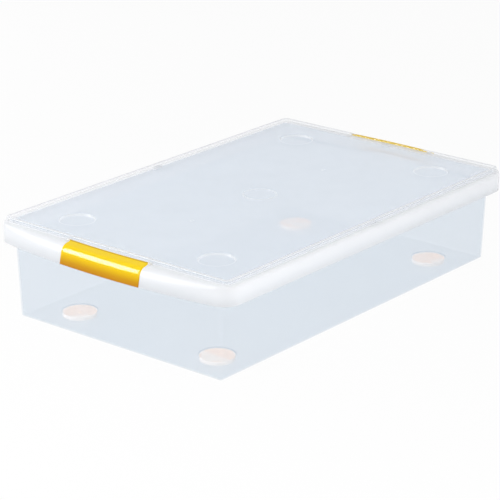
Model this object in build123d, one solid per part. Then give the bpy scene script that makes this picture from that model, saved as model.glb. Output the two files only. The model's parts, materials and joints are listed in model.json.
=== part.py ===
"""Under bed box: a low clear storage box on four castors, with a lid held by two buckles.

Frame: millimetres, origin on the ground under the middle of the box, +X along the length,
+Y across it, +Z up.
"""
from build123d import *
from math import acos, atan2, cos, degrees, radians, sin, sqrt, tan
import os

# ---- Driving dimensions -------------------------------------------------------------------
# Tub
TUB_LENGTH = 677.0           # outside, at the underside
TUB_WIDTH = 408.0
TUB_HEIGHT = 152.5           # underside to the top of the rim
TUB_CORNER_R = 5.0           # plan corner at the underside
TUB_DRAFT = 2.3              # degrees that the walls lean outwards
TUB_FOOT_R = 3.0             # rounding between the walls and the underside
TUB_WALL = 2.0
TUB_FLOOR = 2.0
RIM_DROP = 17.0              # height of the rim's down-turned lip
RIM_SIDE_OVERHANG = 16.9     # top of the wall to the outside of the rim
RIM_END_OVERHANG = 22.4
RIM_GAP = 5.0                # outside of the rim to the outside of the lid
RIM_SIDE_EASE = 1.0          # how far inboard of the lid's rounding the rim's starts
RIM_END_EASE = 4.0

# Lid
LID_END_RISE = 18.25         # how far the bowed ends swell from the corners to the middle
LID_CORNER_R = 30.0
CORNER_PROUD = 0.05          # corners stand this far past the sides, which trim them flat
LID_WALL = 2.0
SKIRT_HEIGHT = 31.8          # lower edge to the shoulder
SHOULDER_R = 6.0             # rounding over the long sides
END_SHOULDER_R = 19.0        # rounding over the short ends
BEAD_END_INSET = 27.5        # outside of the lid to the middle of the raised bead
BEAD_SIDE_INSET = 10.0
BEAD_THICK = 5.0
BEAD_HEIGHT = 6.7
BEAD_CORNER_R = 14.0
BEAD_EDGE_R = 1.2
TAB_WIDTH = 18.0             # small step inside the bead at the middle of each side
TAB_DEPTH = 5.0
TAB_HEIGHT = 3.0
RING_R = 27.5                # thin raised ring in the middle of the panel
RING_THICK = 1.6
RING_HEIGHT = 0.8
GATE_R = 3.5                 # two moulding gates on the panel's long centre line
GATE_HEIGHT = 0.6
GATE_SPACING = 330.0
DISH_DEPTH = 3.0             # dishes that take the castors of a box stacked on top
DISH_CLEARANCE = 1.5

# Castors
CASTOR_END_INSET = 66.5      # edge of the tub's underside to the swivel axis
CASTOR_SIDE_INSET = 63.5
HOUSING_R = 27.0
HOUSING_TOP = 2.0            # thickness of the housing's top plate
HOUSING_WALL = 2.4
HOUSING_DROP = 3.0           # how far the housing hangs below the tub
POCKET_DEPTH = 3.0           # how far the housing sits up into the tub's floor
POCKET_CLEARANCE = 0.1
TURNTABLE_THICK = 2.6
PIVOT_R = 4.0
PIVOT_HEAD_R = 5.2
PIVOT_HEAD = 0.9
WHEEL_R = 7.0
WHEEL_WIDTH = 10.0
WHEEL_EDGE_R = 1.2
WHEEL_HEADROOM = 1.0         # wheel to the housing's top plate
WHEEL_OFF_PIVOT = 2.0        # wheel to the pivot's head
AXLE_R = 1.5
CHEEK_THICK = 2.4
CHEEK_R = 4.0
RUNNING = 0.06               # radial running clearance of pins in bores
CLEARANCE = 0.3              # between flat faces that pass each other
WIDE_CLEARANCE = 0.5         # round the turntable and the wheels

# Buckles
BUCKLE_WIDTH = 157.0
BUCKLE_WALL = 2.0
BUCKLE_OVER_SHOULDER = 0.4   # air between the top face and the lid's end shoulder
BUCKLE_FLARE = 12.2          # degrees that the front face leans out towards its lower edge
BUCKLE_BEND_R = 15.0
BUCKLE_PROUD = 6.7           # lower edge beyond the lid's end
BUCKLE_EDGE = 3.0            # lower edge above the lid's lower edge
HINGE_OFF_BEAD = 4.3         # outside of the bead to the pin's centre
HINGE_CLEARANCE = 0.4        # barrel above the shoulder
BARREL_R = 1.3
PIN_R = 1.2
PIN_LENGTH = 4.0
LUG_WALL = 1.6               # plastic round the pin
LUG_CAP = 1.2                # plastic past the pin's end
HOOK_INSET = 23.5            # end of the buckle to the end of its hook
HOOK_THICK = 3.0
HOOK_BELOW_RIM = 1.0
RIB_THICK = 1.6
RIB_COUNT = 3

# ---- Levels and places worked out from them -----------------------------------------------
tub_bottom = 2 * WHEEL_R + WHEEL_HEADROOM + HOUSING_TOP - POCKET_DEPTH
rim_top = tub_bottom + TUB_HEIGHT
shoulder_top = rim_top + LID_WALL
lid_bottom = shoulder_top - SKIRT_HEIGHT
bead_top = shoulder_top + BEAD_HEIGHT
wall_growth = TUB_HEIGHT * tan(radians(TUB_DRAFT))
end_x = TUB_LENGTH / 2 + wall_growth + RIM_END_OVERHANG + RIM_GAP
side_y = TUB_WIDTH / 2 + wall_growth + RIM_SIDE_OVERHANG + RIM_GAP
end_bow_r = (side_y**2 + LID_END_RISE**2) / (2 * LID_END_RISE)
rim_side_r = SHOULDER_R - RIM_GAP + RIM_SIDE_EASE
rim_end_r = END_SHOULDER_R - RIM_GAP + RIM_END_EASE
bead_x = end_x - BEAD_END_INSET
bead_y = side_y - BEAD_SIDE_INSET
pocket_r = HOUSING_R + POCKET_CLEARANCE
pocket_top = tub_bottom + POCKET_DEPTH
castor_x = TUB_LENGTH / 2 - CASTOR_END_INSET
castor_y = TUB_WIDTH / 2 - CASTOR_SIDE_INSET
castor_places = [(x * castor_x, y * castor_y) for x in (-1, 1) for y in (-1, 1)]
hinge_x = bead_x + BEAD_THICK / 2 + HINGE_OFF_BEAD
hinge_z = shoulder_top + BARREL_R + HINGE_CLEARANCE
hook_width = BUCKLE_WIDTH - 2 * HOOK_INSET
hook_tip_x = end_x - RIM_GAP + CLEARANCE
hook_top = rim_top - RIM_DROP - HOOK_BELOW_RIM


def bow_drop(y):
    """How far the lid's bowed end has fallen back at a distance y from its middle."""
    return end_bow_r - sqrt(end_bow_r**2 - y**2)


def lid_outline(inset, z):
    """Plan of the lid moved in by inset: straight sides, bowed ends, round corners."""
    half_length = end_x - inset
    bow = end_bow_r - inset
    outline = Rectangle(2 * half_length + LID_WALL, 2 * (side_y - inset))
    for side in (-1, 1):
        outline &= Pos(side * (half_length - bow), 0) * Circle(bow)
    return Pos(0, 0, z) * fillet(outline.vertices(), LID_CORNER_R - inset)


def rounded_top(solid, radius):
    """The solid with its top edges rounded."""
    return fillet(solid.edges().group_by(Axis.Z)[-1], radius)


def cap(inset, bottom, top, side_r, end_r):
    """The lid's plan moved in by inset, raised to a block, rounded over its sides and ends."""
    half_length = end_x - inset
    bow = end_bow_r - inset
    block = extrude(lid_outline(inset - CORNER_PROUD, bottom), top - bottom)
    deep = top - bottom + end_r
    across = Box(4 * end_x, 2 * (side_y - inset), 2 * deep)
    long_edges = across.edges().filter_by(Axis.X).group_by(Axis.Z)[-1]
    block &= Pos(0, 0, top - deep) * fillet(long_edges, side_r)
    for side in (-1, 1):
        end = rounded_top(extrude(Circle(bow), deep), end_r)
        block &= Pos(side * (half_length - bow), 0, top - deep) * end
    return block


def ring(outer, inner, bottom, height):
    """Upright ring between two plan shapes."""
    return Pos(0, 0, bottom) * extrude(outer - inner, height)


def bead():
    """Raised bead round the panel, deep enough to meet the shoulder where that falls away."""
    half = BEAD_THICK / 2
    outer = RectangleRounded(2 * (bead_x + half), 2 * (bead_y + half), BEAD_CORNER_R + half)
    inner = RectangleRounded(2 * (bead_x - half), 2 * (bead_y - half), BEAD_CORNER_R - half)
    bottom = shoulder_top - 2 * LID_WALL
    return rounded_top(ring(outer, inner, bottom, bead_top - bottom), BEAD_EDGE_R)


def tabs():
    """Small steps against the inside of the bead at the middle of each side."""
    bottom = shoulder_top - LID_WALL / 2
    height = shoulder_top + TAB_HEIGHT - bottom
    reach = TAB_DEPTH + BEAD_THICK / 2
    solids = []
    for side in (-1, 1):
        at_end = Box(reach, TAB_WIDTH, height)
        at_side = Box(TAB_WIDTH, reach, height)
        solids.append(Pos(side * (bead_x - reach / 2), 0, bottom + height / 2) * at_end)
        solids.append(Pos(0, side * (bead_y - reach / 2), bottom + height / 2) * at_side)
    return solids


def upright_disc(x, y, bottom, top, radius):
    """Cylinder standing on bottom."""
    return Pos(x, y, bottom) * extrude(Circle(radius), top - bottom)


def hinge_lug(y_side):
    """Lug on the shoulder at one end of the hinge on the +X end, with a blind bore for a pin."""
    inner = BUCKLE_WIDTH / 2 + CLEARANCE
    length = PIN_LENGTH + LUG_CAP
    radius = PIN_R + LUG_WALL
    foot = shoulder_top - LID_WALL / 2
    section = Pos(0, (foot - hinge_z) / 2) * Rectangle(2 * radius, hinge_z - foot) + Circle(radius)
    bore = Circle(PIN_R + RUNNING)
    plane = Plane(origin=(hinge_x, y_side * inner, hinge_z), x_dir=(1, 0, 0), z_dir=(0, -1, 0))
    lug = extrude(plane * section, -y_side * length)
    return lug - extrude(plane * bore, -y_side * PIN_LENGTH)


def make_lid():
    lid = cap(0, lid_bottom, shoulder_top, SHOULDER_R, END_SHOULDER_R) + bead()
    inner_radii = (SHOULDER_R - LID_WALL, END_SHOULDER_R - LID_WALL)
    lid -= cap(LID_WALL, lid_bottom - LID_WALL, rim_top, *inner_radii)
    dish_r = HOUSING_R + DISH_CLEARANCE
    for x, y in castor_places:
        lid += upright_disc(x, y, rim_top - DISH_DEPTH, rim_top, dish_r + LID_WALL)
        lid -= upright_disc(x, y, shoulder_top - DISH_DEPTH, shoulder_top, dish_r)
    lid += tabs()
    centre_ring = Circle(RING_R) - Circle(RING_R - RING_THICK)
    lid += Pos(0, 0, shoulder_top) * extrude(centre_ring, RING_HEIGHT)
    for side in (-1, 1):
        lid += upright_disc(side * GATE_SPACING / 2, 0, shoulder_top, shoulder_top + GATE_HEIGHT, GATE_R)
    lugs = [hinge_lug(-1), hinge_lug(1)]
    lid += lugs
    lid += [lug.rotate(Axis.Z, 180) for lug in lugs]
    lid -= hook_windows()
    return lid


def hook_windows():
    """Notches in the lower edge of the lid's ends that let the hooks swing through."""
    reach = sqrt((hook_tip_x - hinge_x) ** 2 + (hinge_z - hook_top) ** 2)
    top = hinge_z - sqrt(reach**2 - (end_x - hinge_x) ** 2) + WIDE_CLEARANCE + HOOK_BELOW_RIM
    width = hook_width + 6 * WIDE_CLEARANCE
    cut = Box(4 * LID_WALL + 2 * bow_drop(width / 2), width, 2 * (top - lid_bottom))
    return [Pos(side * end_x, 0, lid_bottom) * cut for side in (-1, 1)]


def tub_section(inset, z):
    """Plan of the tub's walls at height z, moved in by inset."""
    growth = (z - tub_bottom) * tan(radians(TUB_DRAFT)) - inset
    flat = RectangleRounded(TUB_LENGTH + 2 * growth, TUB_WIDTH + 2 * growth, TUB_CORNER_R + growth)
    return Pos(0, 0, z) * flat


def tub_block(inset, bottom, top):
    """Tapered block between two levels inside or outside the tub's walls."""
    return extrude(tub_section(inset, bottom), top - bottom, taper=-TUB_DRAFT)


def make_tub():
    outer = tub_block(0, tub_bottom, rim_top)
    tub = fillet(outer.edges().group_by(Axis.Z)[0], TUB_FOOT_R)
    tub &= cap(RIM_GAP, tub_bottom, rim_top, rim_side_r, rim_end_r)
    lip_bottom = rim_top - RIM_DROP
    rim = cap(RIM_GAP, lip_bottom, rim_top, rim_side_r, rim_end_r)
    inside_r = max(rim_side_r - TUB_WALL, rim_side_r / 10)
    rim -= cap(RIM_GAP + TUB_WALL, lip_bottom, rim_top - TUB_WALL, inside_r, rim_end_r - TUB_WALL)
    tub += rim
    tub -= tub_block(TUB_WALL, tub_bottom + TUB_FLOOR, rim_top)
    for x, y in castor_places:
        tub += upright_disc(x, y, tub_bottom, pocket_top + TUB_FLOOR, pocket_r + TUB_WALL)
        tub -= upright_disc(x, y, tub_bottom, pocket_top, pocket_r)
    return tub


def top_face_slope(hinge):
    """Slope of the buckle's top face, whose underside passes just over the lid's end shoulder.

    That underside is the common tangent of a circle about the hinge and one about the shoulder.
    """
    down = hinge[1] - (shoulder_top - END_SHOULDER_R)
    along = hinge[0] - (end_x - END_SHOULDER_R)
    drop = END_SHOULDER_R + BUCKLE_OVER_SHOULDER - (BARREL_R - BUCKLE_WALL)
    return atan2(along, down) + acos(drop / sqrt(down**2 + along**2))


def buckle_section():
    """Section of the buckle through its middle: barrel, top face, bend and flared front."""
    hinge = (hinge_x + bow_drop(BUCKLE_WIDTH / 2), hinge_z)
    low = (end_x + BUCKLE_PROUD, lid_bottom + BUCKLE_EDGE)
    slope = top_face_slope(hinge)
    flare = radians(BUCKLE_FLARE)
    top_normal = (sin(slope), cos(slope))
    front_normal = (cos(flare), sin(flare))

    def corner(inset):
        """Where the top and front faces meet, both moved in by inset."""
        top = top_normal[0] * hinge[0] + top_normal[1] * hinge[1] + BARREL_R - inset
        front = front_normal[0] * low[0] + front_normal[1] * low[1] - inset
        spread = cos(slope + flare)
        x = (front * top_normal[1] - top * front_normal[1]) / spread
        z = (top * front_normal[0] - front * top_normal[0]) / spread
        return (x, z)

    def moved(point, normal, distance):
        return (point[0] + normal[0] * distance, point[1] + normal[1] * distance)

    outer_corner = corner(0)
    inner_corner = corner(BUCKLE_WALL)
    points = [
        moved(hinge, top_normal, BARREL_R),
        outer_corner,
        low,
        moved(low, front_normal, -BUCKLE_WALL),
        inner_corner,
        moved(hinge, top_normal, BARREL_R - BUCKLE_WALL),
    ]
    strip = make_face(Polyline(*points, close=True))
    for point, radius in ((outer_corner, BUCKLE_BEND_R), (inner_corner, BUCKLE_BEND_R - BUCKLE_WALL)):
        bend = strip.vertices().sort_by_distance(Vector(*point, 0))[0]
        strip = fillet(bend, radius)
    return strip + Pos(*hinge) * Circle(BARREL_R)


def around_bow(section, width):
    """The section carried round the bow of the +X end, cut square at the given width."""
    swing = 2 * degrees(width / end_bow_r)
    axis = Axis((end_x - end_bow_r, 0, 0), (0, 0, 1))
    upright = (Plane.XZ * section).rotate(axis, -swing / 2)
    swept = revolve(upright, axis, swing)
    return swept & Pos(end_x, 0, rim_top) * Box(2 * end_x, width, 2 * TUB_HEIGHT)


def make_buckle():
    """Buckle on the +X end: bent plate, hinge pins, and the hook with its ribs."""
    section = buckle_section()
    buckle = around_bow(section, BUCKLE_WIDTH)
    front_x = end_x + BUCKLE_PROUD - BUCKLE_WALL
    lean = tan(radians(BUCKLE_FLARE))
    root_x = front_x - (hook_top - lid_bottom - BUCKLE_EDGE) * lean + BUCKLE_WALL / 2
    ledge_length = root_x - hook_tip_x
    ledge = Pos((root_x + hook_tip_x) / 2, hook_top - HOOK_THICK / 2) * Rectangle(ledge_length, HOOK_THICK)
    buckle += around_bow(ledge, hook_width)
    rib_foot = hook_tip_x + ledge_length / 2
    rib = make_face(
        Polyline(
            (rib_foot, hook_top - HOOK_THICK),
            (root_x, hook_top - HOOK_THICK),
            (root_x + lean * HOOK_THICK, hook_top - 2 * HOOK_THICK),
            close=True,
        )
    )
    for count in range(RIB_COUNT):
        y = (count - (RIB_COUNT - 1) / 2) * hook_width / (RIB_COUNT + 1)
        buckle += Pos(-bow_drop(y), y, 0) * extrude(Plane.XZ * rib, RIB_THICK / 2, both=True)
    pin_span = BUCKLE_WIDTH + 2 * PIN_LENGTH - 2 * CLEARANCE
    pin = Pos(hinge_x, 0, hinge_z) * Rot(90, 0, 0) * Cylinder(PIN_R, pin_span)
    middle = Pos(hinge_x, 0, hinge_z) * Box(8 * BARREL_R, BUCKLE_WIDTH - 2 * CLEARANCE, 8 * BARREL_R)
    return buckle + (pin - middle)


def make_castor():
    """The four pieces of a castor, about its own swivel axis."""
    plate_bottom = pocket_top - HOUSING_TOP
    turntable_top = plate_bottom - CLEARANCE
    turntable_bottom = turntable_top - TURNTABLE_THICK
    head_top = turntable_bottom - CLEARANCE
    head_bottom = head_top - PIVOT_HEAD
    trail = PIVOT_HEAD_R + WHEEL_OFF_PIVOT + sqrt(WHEEL_R**2 - (head_bottom - WHEEL_R) ** 2)
    housing = upright_disc(0, 0, tub_bottom - HOUSING_DROP, pocket_top, HOUSING_R)
    housing -= upright_disc(0, 0, tub_bottom - HOUSING_DROP, plate_bottom, HOUSING_R - HOUSING_WALL)
    housing += upright_disc(0, 0, head_bottom, plate_bottom, PIVOT_R)
    housing += upright_disc(0, 0, head_bottom, head_top, PIVOT_HEAD_R)

    turntable_r = HOUSING_R - HOUSING_WALL - WIDE_CLEARANCE
    swivel = upright_disc(0, 0, turntable_bottom, turntable_top, turntable_r)
    swivel -= upright_disc(0, 0, turntable_bottom, turntable_top, PIVOT_R + RUNNING)
    slot_reach = sqrt(WHEEL_R**2 - (turntable_bottom - WHEEL_R) ** 2) + WIDE_CLEARANCE
    slot_width = WHEEL_WIDTH + 2 * WIDE_CLEARANCE
    swivel -= Pos(trail, 0, turntable_bottom) * Box(2 * slot_reach, slot_width, 4 * TURNTABLE_THICK)
    cheek = Pos(0, (turntable_bottom - WHEEL_R) / 2) * Rectangle(2 * CHEEK_R, turntable_bottom - WHEEL_R)
    cheek = cheek + Circle(CHEEK_R) - Circle(AXLE_R)
    for side in (-1, 1):
        y = side * (slot_width + CHEEK_THICK) / 2
        upright = Plane(origin=(trail, y, WHEEL_R), x_dir=(1, 0, 0), z_dir=(0, -1, 0))
        swivel += extrude(upright * cheek, CHEEK_THICK / 2, both=True)

    along_axle = Pos(trail, 0, WHEEL_R) * Rot(90, 0, 0)
    axle = along_axle * Cylinder(AXLE_R, slot_width + 2 * CHEEK_THICK)
    tread = Cylinder(WHEEL_R, WHEEL_WIDTH)
    tread = fillet(tread.edges(), WHEEL_EDGE_R) - Cylinder(AXLE_R + RUNNING, WHEEL_WIDTH)
    return {"housing": housing, "swivel": swivel, "axle": axle, "wheel": along_axle * tread}


def make_pieces():
    """Every piece by its node name."""
    far_buckle = make_buckle()
    pieces = {
        "base_tub": make_tub(),
        "lid": make_lid(),
        "buckle_far": far_buckle,
        "buckle_near": far_buckle.rotate(Axis.Z, 180),
    }
    castor = make_castor()
    for number, (x, y) in enumerate(castor_places, 1):
        for name, shape in castor.items():
            pieces[f"castor_{name}_{number}"] = Pos(x, y, 0) * shape
    return pieces


os.makedirs("parts", exist_ok=True)
for node, shape in make_pieces().items():
    export_step(shape, f"parts/{node}.step")
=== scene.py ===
"""Looks of the under bed box: clear tub, clear lid with a frosted rim, yellow buckles, castors."""

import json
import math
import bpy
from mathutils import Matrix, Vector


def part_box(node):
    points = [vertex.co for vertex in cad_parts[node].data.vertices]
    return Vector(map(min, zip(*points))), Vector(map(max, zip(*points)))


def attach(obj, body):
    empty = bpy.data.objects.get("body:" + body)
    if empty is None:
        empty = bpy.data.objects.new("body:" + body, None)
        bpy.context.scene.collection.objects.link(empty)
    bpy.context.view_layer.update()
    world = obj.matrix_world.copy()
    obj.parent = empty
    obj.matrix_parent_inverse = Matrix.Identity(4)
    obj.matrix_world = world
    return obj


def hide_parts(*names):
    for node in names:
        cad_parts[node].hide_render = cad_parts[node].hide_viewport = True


bl_info = {
    "name": "Under bed box looks",
    "version": (1, 0, 0),
    "blender": (4, 5, 0),
    "location": "3D View > Sidebar > Box",
    "description": "Builds the finish of a clear under bed storage box on its CAD frame",
    "category": "Object",
}

import bpy
import numpy as np
from bpy.props import FloatProperty, FloatVectorProperty, IntProperty, PointerProperty
from mathutils import Vector

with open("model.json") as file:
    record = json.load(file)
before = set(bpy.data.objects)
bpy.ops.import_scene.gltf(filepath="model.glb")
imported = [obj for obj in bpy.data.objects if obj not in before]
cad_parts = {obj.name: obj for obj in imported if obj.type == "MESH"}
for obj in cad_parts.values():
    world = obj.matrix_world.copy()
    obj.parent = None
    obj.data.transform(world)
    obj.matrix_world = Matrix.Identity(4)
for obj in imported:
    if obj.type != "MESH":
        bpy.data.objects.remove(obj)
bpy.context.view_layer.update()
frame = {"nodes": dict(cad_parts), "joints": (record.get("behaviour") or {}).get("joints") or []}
LID_LOW, LID_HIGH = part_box("lid")
BUCKLE_LOW, BUCKLE_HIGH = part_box("buckle_far")
_, TUB_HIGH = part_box("base_tub")
HOUSING_LOW, HOUSING_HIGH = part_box("castor_housing_4")
MM = 0.001
PROUD = 6.7  # a buckle's lower edge beyond the lid's end, in millimetres


def joint_place(name):
    """Where a joint's axis passes, in metres."""
    found = [joint for joint in frame["joints"] if joint["name"] == name]
    return Vector(found[0]["pos_m"])


HINGE = joint_place("buckle_far_hinge")


# ---- Settings ---------------------------------------------------------------------------


def length_setting(name, description, millimetres):
    """A length in the sidebar, given in millimetres and held in metres."""
    return FloatProperty(
        name=name, description=description, default=millimetres * MM, unit="LENGTH", precision=4
    )


def colour_setting(name, description, default):
    """A linear colour in the sidebar."""
    return FloatVectorProperty(
        name=name, description=description, default=default, subtype="COLOR", min=0, max=1
    )


def share_setting(name, description, default):
    """A number from 0 to 1 in the sidebar."""
    return FloatProperty(name=name, description=description, default=default, min=0, max=1)


class LidSizes(bpy.types.PropertyGroup):
    """Sizes of the lid's visible surfaces."""

    wall: length_setting("Wall", "Thickness of the lid's plastic", 2.0)
    end_x: FloatProperty(
        name="End", description="Middle of the bowed end", unit="LENGTH",
        default=BUCKLE_HIGH.x - PROUD * MM,
    )
    side_y: FloatProperty(
        name="Side", description="Half of the lid's width", unit="LENGTH", default=LID_HIGH.y
    )
    end_rise: length_setting("End rise", "How far the bowed ends swell", 18.25)
    corner_r: length_setting("Corner", "Plan radius of the corners", 30.0)
    shoulder_r: length_setting("End shoulder", "Rounding over the short ends", 19.0)
    shoulder_land: length_setting("Shoulder land", "Flat strip outside the bead", 1.5)
    bead_height: length_setting("Bead height", "Bead above the panel", 6.7)
    bead_thick: length_setting("Bead thickness", "Width of the raised bead", 5.0)
    bead_end: length_setting("Bead end inset", "Lid's end to the middle of the bead", 27.5)
    bead_side: length_setting("Bead side inset", "Lid's side to the middle of the bead", 10.0)
    bead_corner: length_setting("Bead corner", "Plan radius of the bead's corners", 7.0)
    bead_edge: length_setting("Bead edge", "Rounding along the bead's top", 1.3)
    bead_foot: length_setting("Bead foot", "Hollow rounding at the bead's foot", 0.9)
    lip: length_setting("Lip", "Rounding along the rim's lower edge", 0.6)
    hook_half: length_setting("Hook notch", "Half width of the notch behind a buckle", 56.5)
    hook_notch: length_setting("Notch height", "Height of the notch behind a buckle", 17.7)
    dish_r: length_setting("Dish radius", "Dishes above the castors", 28.5)
    dish_depth: length_setting("Dish depth", "Depth of the dishes", 3.0)
    dish_step: length_setting("Dish step", "Width of the step into a dish", 1.6)
    ring_r: length_setting("Ring radius", "Thin ring in the middle", 27.5)
    ring_thick: length_setting("Ring width", "Width of the thin ring", 1.6)
    ring_height: length_setting("Ring height", "Height of the thin ring", 0.8)
    ring_step: length_setting("Ring step", "Width of the step up to the ring", 0.5)
    gate_r: length_setting("Gate radius", "Moulding gates on the panel", 3.5)
    gate_height: length_setting("Gate height", "Height of the moulding gates", 0.6)
    gate_step: length_setting("Gate step", "Width of the step up to a gate", 0.6)
    gate_x: length_setting("Gate place", "Middle of the lid to a gate", 165.0)
    tab_width: length_setting("Tab width", "Small steps inside the bead", 18.0)
    tab_depth: length_setting("Tab depth", "Small steps inside the bead", 5.0)
    tab_height: length_setting("Tab height", "Small steps inside the bead", 3.0)
    tab_edge: length_setting("Tab edge", "Rounding round a step's top", 0.7)


class BuckleSizes(bpy.types.PropertyGroup):
    """Sizes of the two buckles."""

    width: length_setting("Width", "Length along the box's end", 157.0)
    wall: length_setting("Wall", "Thickness of the plastic", 2.0)
    barrel_r: length_setting("Barrel", "Radius of the rolled top edge", 1.3)
    pin_r: length_setting("Pin", "Radius of the hinge pins", 1.2)
    pin_out: length_setting("Pin length", "How far the pins stand out", 3.7)
    pin_room: length_setting("Pin room", "Room round a pin in its lug", 0.15)
    lug_wall: length_setting("Lug wall", "Plastic round a pin", 1.6)
    lug_gap: length_setting("Lug gap", "End of the buckle to a lug", 0.3)
    lug_hole: length_setting("Lug hole", "Depth of the hole for a pin", 4.0)
    lug_length: length_setting("Lug length", "Length of a lug along the pin", 5.2)
    lug_sunk: length_setting("Lug sunk", "How deep a lug is rooted in the lid", 0.8)
    over_shoulder: length_setting("Over shoulder", "Air over the lid's shoulder", 0.4)
    proud: length_setting("Proud", "Lower edge beyond the lid's end", PROUD)
    edge: length_setting("Edge", "Lower edge above the lid's lower edge", 3.0)
    flare: FloatProperty(
        name="Flare", description="Lean of the front face", default=math.radians(12.2),
        subtype="ANGLE",
    )
    bend_r: length_setting("Bend", "Rounding between top and front", 15.0)
    crease_at: length_setting("Crease", "Barrel to the crease across the top", 6.0)
    crease_depth: length_setting("Crease depth", "Depth of the crease", 0.6)
    hook_width: length_setting("Hook width", "Length of the hook", 110.0)
    hook_thick: length_setting("Hook thickness", "Thickness of the hook", 3.0)
    hook_tip: length_setting("Hook tip", "Tip of the hook in from the lid's end", 4.7)
    hook_below: length_setting("Hook level", "Top of the hook below the top of the bead", 26.7)
    rib_thick: length_setting("Rib thickness", "Thickness of the ribs under the hook", 1.6)


class Finishes(bpy.types.PropertyGroup):
    """Colours and see-through shares of the plastics."""

    clear: colour_setting("Clear plastic", "Tint of the tub", (0.71, 0.78, 0.86))
    clear_share: share_setting("Clear share", "How solid one face of the tub looks", 0.1)
    lip_share: share_setting("Lip share", "How much more solid the tub's rim looks", 0.45)
    panel: colour_setting("Panel", "Tint of the lid's panel", (0.79, 0.85, 0.93))
    panel_share: share_setting("Panel share", "How solid one face of the panel looks", 0.24)
    rim: colour_setting("Frosted rim", "Tint of the lid's rim", (0.895, 0.9, 0.912))
    rim_share: share_setting("Rim share", "How solid one face of the rim looks", 0.72)
    bead_share: share_setting("Bead share", "How solid one face of the bead looks", 0.14)
    # painted highlight: how solid, and so how white, the bead's top edge is drawn
    crest_painted_highlight_share: share_setting("Crest share", "How solid the bead's top edge looks", 0.8)
    step_share: share_setting("Step share", "How solid the small steps and lugs look", 0.75)
    # painted highlight: how solid, and so how white, the panel's step edges are drawn
    line_painted_highlight_share: share_setting("Line share", "How solid the panel's raised lines look", 0.2)
    clear_tint: colour_setting(
        "Tub tint", "What one face of the tub lets through", (0.95, 0.961, 0.972)
    )
    lid_tint: colour_setting(
        "Lid tint", "What one face of the lid lets through", (0.97, 0.976, 0.982)
    )
    rim_glow: share_setting("Rim glow", "Light that the rim lets through from behind", 0.65)
    glow: share_setting("Glow", "Light that the clear plastic lets through from behind", 0.5)
    buckle: colour_setting("Buckle", "Yellow of the buckles", (0.86, 0.6, 0.0))
    # painted shade: colour of the buckle's front face, drawn darker than its lit top
    buckle_front_painted_shade: colour_setting("Buckle front", "Deeper yellow of the lower face", (0.47, 0.19, 0.0))
    # painted shade: the darkest colour, for the shaded strips along the buckle's hinge and lower
    # edge
    buckle_edge_painted_shade: colour_setting("Buckle edge", "Deepest yellow along the edges", (0.3, 0.12, 0.0))
    castor: colour_setting("Castor", "Peach of the castors", (0.95, 0.86, 0.79))
    axle: colour_setting("Axle", "Bright wire", (0.6, 0.6, 0.61))


class StageSettings(bpy.types.PropertyGroup):
    """Camera, lamps and floor."""

    camera_at: FloatVectorProperty(
        name="Camera", description="Place of the camera", subtype="TRANSLATION",
        default=(-2.5462, -2.0727, 1.2637),
    )
    camera_turn: FloatProperty(
        name="Turn", description="Turn of the camera", default=math.radians(-50.58), subtype="ANGLE"
    )
    camera_tilt: FloatProperty(
        name="Tilt", description="How far the camera looks down", default=math.radians(19.911),
        subtype="ANGLE",
    )
    lens: FloatProperty(name="Lens", description="Focal length in millimetres", default=156.6)
    sky: FloatProperty(name="Sky", description="Strength of the even light", default=0.8)
    key: FloatProperty(name="Key lamp", description="Power of the strip lamp", default=14.0)
    back: FloatProperty(
        name="Back lamp", description="Power of the lamp behind the long side", default=5.0
    )
    gleam: FloatProperty(
        name="Gleam", description="Power of the lamp seen in glossy faces", default=95.0
    )
    fill: FloatProperty(name="Fill lamp", description="Power of the broad lamp", default=20.0)
    bounces: IntProperty(name="See-through depth", description="Faces seen through", default=40)
    floor_half: FloatProperty(
        name="Floor", description="Half of the floor's side", unit="LENGTH", default=8
    )
    floor_white: share_setting("Floor white", "How plainly white the floor looks", 0.85)


# ---- Meshes -----------------------------------------------------------------------------


def make_object(name, points, faces, smooth_angle=35.0):
    """A mesh object from points and a list of face arrays, smooth except at sharp edges."""
    mesh = bpy.data.meshes.new(name)
    mesh.from_pydata(points.tolist(), [], [face for block in faces for face in block.tolist()])
    mesh.validate()
    mesh.shade_smooth()
    mesh.set_sharp_from_angle(angle=math.radians(smooth_angle))
    made = bpy.data.objects.new(name, mesh)
    bpy.context.scene.collection.objects.link(made)
    return made


def grid_faces(rows, columns, close_rows=False, close_columns=False):
    """Quads of a rows by columns grid of points numbered row by row, wrapped where it closes."""
    row = np.arange(rows if close_rows else rows - 1)
    column = np.arange(columns if close_columns else columns - 1)
    i, j = np.meshgrid(row, column, indexing="ij")
    next_i, next_j = (i + 1) % rows, (j + 1) % columns
    here, after = i * columns, next_i * columns
    return np.stack([here + j, after + j, after + next_j, here + next_j], -1).reshape(-1, 4)


def arc(centre_a, centre_b, radius, start, end, count):
    """Points of a circle's arc in a section, from one angle in degrees to another."""
    angle = np.radians(np.linspace(start, end, count))
    return np.stack([centre_a + radius * np.cos(angle), centre_b + radius * np.sin(angle)], -1)


def facing_out(made):
    """Turns the faces of a closed mesh outwards, judged by the volume that they enclose.

    That holds only for faces that all wind one way. The panel's edge strip and the ends of the
    lugs wind against their other faces, so most faces of those two pieces end up inwards.
    """
    mesh = made.data
    mesh.calc_loop_triangles()
    points = np.empty(len(mesh.vertices) * 3)
    mesh.vertices.foreach_get("co", points)
    triangles = np.empty(len(mesh.loop_triangles) * 3, int)
    mesh.loop_triangles.foreach_get("vertices", triangles)
    corner = points.reshape(-1, 3)[triangles.reshape(-1, 3)]
    volume = np.einsum("ij,ij->i", corner[:, 0], np.cross(corner[:, 1], corner[:, 2])).sum()
    if volume < 0:
        mesh.flip_normals()
    return made


# ---- Lid --------------------------------------------------------------------------------

ROUND, BENT = 1.1, 1.9  # the panel's grid is round to ROUND radii of a feature, square from BENT on


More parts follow.
